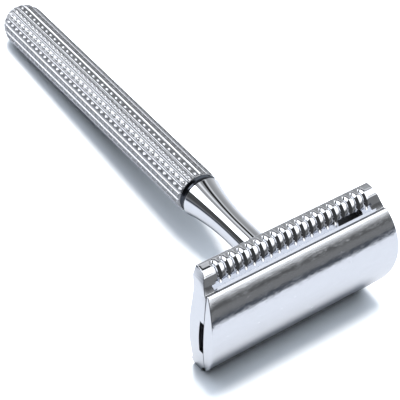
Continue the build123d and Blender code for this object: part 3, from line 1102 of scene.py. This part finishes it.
cap_shell = make_cap()
guard_plate = make_plate()
place_piece(cap_shell, cap_chrome, "cap", "cap")
place_piece(guard_plate, plate_chrome, "guard", "base_plate")
place_piece(make_blade(), blade_steel, "blade", "blade")
place_piece(make_stud(), stud_brass, "cap", "cap_stud")
place_piece(make_pins(), pin_steel, "cap", "locating_pins")
place_piece(make_neck(), neck_chrome, "handle", "neck")
place_piece(make_ring(), ring_chrome, "handle", "collar_ring")
place_piece(make_grip(), grip_chrome, "handle", "grip")
place_piece(make_plug(), neck_chrome, "handle", "end_plug")


def paint(piece, material, chosen):
    """Gives a second material to the faces for which chosen(centre, normal) holds."""
    piece.data.materials.append(material)
    for face in piece.data.polygons:
        if chosen(face.center / MM - Vector((EDGE_X, 0, 0)), face.normal):
            face.material_index = 1


def under_cap(centre, normal):
    """Whether a face of the cap gets painted shade: its underside facing the blade, and the outer part
    of the lip facing the shelf, as a painted shadow line of the gap.
    """
    inside = abs(centre.y) < convex_end(centre.z) - 0.15
    on_lip = abs(centre.z) > CAP_HALF_WIDTH - 0.02
    return inside and normal.x < (0.15 if on_lip else -0.5)


def in_plate_recess(centre, normal):
    """Whether a face of the plate lies under the blade or in one of the cuts, and so gets painted
    shade.
    """
    under_blade = abs(centre.z) < SHELF_INNER[1] - 0.02 and centre.x > -3.0
    on_wall = abs(normal.x) < 0.1
    in_slot = on_wall and abs(centre.z) < SHELF_OUTER_Z + 0.6 and abs(centre.y) < END_BLOCK_START
    return (under_blade or in_slot) and abs(centre.y) < convex_end(centre.z) - 0.12


# Painted shade where the cap meets the blade and the plate, and in the plate's cuts.
paint(cap_shell, painted_recess_shade, under_cap)
paint(guard_plate, painted_recess_shade, in_plate_recess)
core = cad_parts["core_rod"]
core.data.materials.clear()
core.data.materials.append(core_steel)

# -------------------- table top

TABLE_HALF_SIZE = 1500.0
TABLE_GAP = 0.02
TABLE_FRONT = 105.0      # past the cap, the polished metal sees the dark room and not the table
TABLE_SIDE = 72.0        # the same, on the camera's side
TABLE_SIDE_FADE = 22.0
TABLE_IN_CHROME = 0.46    # how bright the table looks in the metal, next to how the camera sees it


def make_table():
    """Pale table top that touches the guard's lower bar and the underside of the handle's end."""
    front = Vector((EDGE_X + BAR_FOOT, 0.0, plate_low.z / MM))
    rear = Vector((DOME_CENTRE_X, 0.0, grip_low.z / MM))
    slope = (front.z - rear.z) / (front.x - rear.x)
    points = []
    for side_x, side_y in ((-1, -1), (1, -1), (1, 1), (-1, 1)):
        x = side_x * TABLE_HALF_SIZE
        points.append((x, side_y * TABLE_HALF_SIZE, rear.z - TABLE_GAP + slope * (x - rear.x)))
    table = make_object("table_top", points, [[0, 1, 2, 3]])
    if table.data.polygons[0].normal.z < 0:
        table.data.flip_normals()
    return table


def table_material():
    """Matt white surface with a faint grain, dark in reflections past the table's edge."""
    material = bpy.data.materials.new("white_table")
    material.use_nodes = True
    nodes = Nodes(material.node_tree)
    place = nodes.add("ShaderNodeTexCoord").outputs["Object"]
    grain = nodes.noise(place, (0.8, 0.8, 0.8), detail=2.0)
    in_reflection = nodes.add("ShaderNodeLightPath").outputs["Is Glossy Ray"]
    shade = nodes.mix_colour(grain, [0.89, 0.895, 0.9, 1], [0.91, 0.915, 0.92, 1])
    dimmed = scaled((0.9, 0.905, 0.93), TABLE_IN_CHROME)
    white = nodes.add("ShaderNodeBsdfDiffuse")
    nodes.feed(white.inputs["Color"], nodes.mix_colour(in_reflection, shade, dimmed))
    dark = nodes.add("ShaderNodeEmission")
    dark.inputs["Color"].default_value = [0.09, 0.1, 0.12, 1]
    along, side, _ = nodes.split(place)
    front_edge = (EDGE_X + TABLE_FRONT) * MM
    past_front = nodes.ramp(along, front_edge, front_edge + 2 * MM)
    side_start = -(TABLE_SIDE - TABLE_SIDE_FADE) * MM
    past_side = nodes.ramp(side, side_start, side_start - 2 * TABLE_SIDE_FADE * MM)
    far = nodes.maths("MAXIMUM", past_front, past_side)
    blend = nodes.add("ShaderNodeMixShader")
    nodes.feed(blend.inputs[0], nodes.maths("MULTIPLY", far, in_reflection))
    nodes.feed(blend.inputs[1], white.outputs[0])
    nodes.feed(blend.inputs[2], dark.outputs[0])
    nodes.show(blend)
    return material


table = make_table()
table.data.materials.append(table_material())

# -------------------- studio

CEILING = 0.42
SOFTBOX = 5.5
WINDOW = 2.2
DARK_WALL = 0.09
PALE_WALL = 0.85
FRONT_WALL = 0.24
CAMERA_SIDE = 0.06
PANEL_LEAN = 20.0        # degrees by which the thin panels turn from the handle's line to the head's
LEAN_SHIFT = 12.0
CAMERA_SHADE = (16.0, 9.0)         # degrees from the camera between which its own dark patch sets in


def studio_world():
    """Soft studio round the razor: softboxes, grey ceiling and dark walls, by direction."""
    world = bpy.data.worlds.new("studio")
    world.use_nodes = True
    world.cycles_visibility.diffuse = False
    bpy.context.scene.world = world
    nodes = Nodes(world.node_tree)
    direction = nodes.add("ShaderNodeTexCoord").outputs["Generated"]
    along, side, up = nodes.split(direction)

    def band(light, angle, centre, half_width, softness, brightness):
        away = nodes.maths("ABSOLUTE", nodes.maths("SUBTRACT", angle, centre))
        share = nodes.ramp(away, half_width + softness / 2, half_width - softness / 2)
        return nodes.mix(share, light, brightness)

    # Behind the head the panels run along the handle, so only the angle round it counts. The two
    # thin ones lean a little towards the head's line.
    round_handle = nodes.maths("DEGREES", nodes.maths("ARCTAN2", up, side))
    lean = nodes.maths("ADD", round_handle, nodes.maths("MULTIPLY", along, PANEL_LEAN))
    lean = nodes.maths("ADD", lean, LEAN_SHIFT)
    rear = nodes.mix(nodes.ramp(round_handle, 42.0, -5.0), CEILING, PALE_WALL)
    rear = band(rear, lean, 62.0, 3.5, 6.0, 0.9)
    rear = band(rear, lean, 74.5, 6.0, 3.0, 0.02)
    rear = band(rear, round_handle, 87.0, 5.0, 6.0, 1.1)
    rear = band(rear, round_handle, 126.0, 17.5, 6.0, SOFTBOX)
    rear = nodes.mix(nodes.ramp(round_handle, 144.0, 148.0), rear, DARK_WALL)
    rear = nodes.mix(nodes.ramp(round_handle, 165.0, 183.0), rear, 0.3)

    # In front of the head they run along it, so only the angle round its length counts.
    round_head = nodes.maths("DEGREES", nodes.maths("ARCTAN2", up, along))
    front = band(FRONT_WALL, round_head, 9.0, 3.0, 6.0, FRONT_WALL / 2)
    front = nodes.mix(nodes.ramp(round_head, 12.0, 31.0), front, WINDOW)
    front = nodes.mix(nodes.ramp(side, 0.2, -0.05), front, CAMERA_SIDE)

    light = nodes.mix(nodes.ramp(along, -0.08, 0.12), rear, front)

    to_camera = nodes.add("ShaderNodeVectorMath", operation="DOT_PRODUCT")
    nodes.feed(to_camera.inputs[0], direction)
    to_camera.inputs[1].default_value = list(camera_back())
    shade_start, shade_end = [cos(radians(angle)) for angle in CAMERA_SHADE]
    shaded = nodes.ramp(to_camera.outputs["Value"], shade_start, shade_end)
    light = nodes.mix(shaded, light, 0.05)

    path = nodes.add("ShaderNodeLightPath")
    seen = nodes.mix(path.outputs["Is Camera Ray"], light, 1.2)
    background = nodes.add("ShaderNodeBackground")
    background.inputs["Color"].default_value = [0.97, 0.985, 1.0, 1]
    nodes.feed(background.inputs["Strength"], seen)
    nodes.show(background)


# -------------------- camera

VIEW_AZIMUTH = 54.25
VIEW_ELEVATION = 42.24
VIEW_ROLL = 1.14
VIEW_DISTANCE = 248.0
AIM_BACK = 20.2          # the view's middle lies this far behind the cap's edges,
AIM_SIDE = -8.9          # this far along the head
AIM_UP = 12.4            # and this far over the handle's axis
LENS = 116.7
SENSOR = 36.0


def camera_back():
    """Unit vector from the razor to the camera."""
    turn = radians(VIEW_AZIMUTH)
    lift = radians(VIEW_ELEVATION)
    return Vector((sin(turn) * cos(lift), -cos(turn) * cos(lift), sin(lift)))


def make_camera():
    """Camera over the head's near end, looking back and down along the handle."""
    data = bpy.data.cameras.new("camera")
    data.lens = LENS
    data.sensor_width = SENSOR
    data.clip_start = 0.01
    data.clip_end = 20.0
    camera = bpy.data.objects.new("camera", data)
    bpy.context.scene.collection.objects.link(camera)
    aim = Vector((EDGE_X - AIM_BACK, AIM_SIDE, AIM_UP)) * MM
    camera.location = aim + camera_back() * VIEW_DISTANCE * MM
    camera.rotation_mode = "QUATERNION"
    level = (-camera_back()).to_track_quat("-Z", "Y")
    camera.rotation_quaternion = level @ Quaternion((0, 0, 1), radians(VIEW_ROLL))
    bpy.context.scene.camera = camera


# -------------------- lamps


def make_lamp(name, strength, colour, azimuth, elevation, spread_angle):
    """Distant soft lamp that lights the table; the polished metal sees the studio instead."""
    data = bpy.data.lights.new(name, "SUN")
    data.energy = strength
    data.color = colour
    data.angle = radians(spread_angle)
    lamp = bpy.data.objects.new(name, data)
    bpy.context.scene.collection.objects.link(lamp)
    turn = radians(azimuth)
    lift = radians(elevation)
    towards = Vector((cos(turn) * cos(lift), sin(turn) * cos(lift), sin(lift)))
    lamp.rotation_mode = "QUATERNION"
    lamp.rotation_quaternion = towards.to_track_quat("Z", "Y")
    lamp.visible_glossy = False


studio_world()
make_lamp("key_lamp", 5.0, (1.0, 0.985, 0.965), azimuth=134.0, elevation=82.5, spread_angle=24.0)
make_lamp("sky_lamp", 4.1, (0.85, 0.95, 1.08), azimuth=140.0, elevation=82.0, spread_angle=92.0)
make_camera()
bpy.context.scene.view_settings.view_transform = "Standard"
bpy.context.scene.cycles.caustics_reflective = False
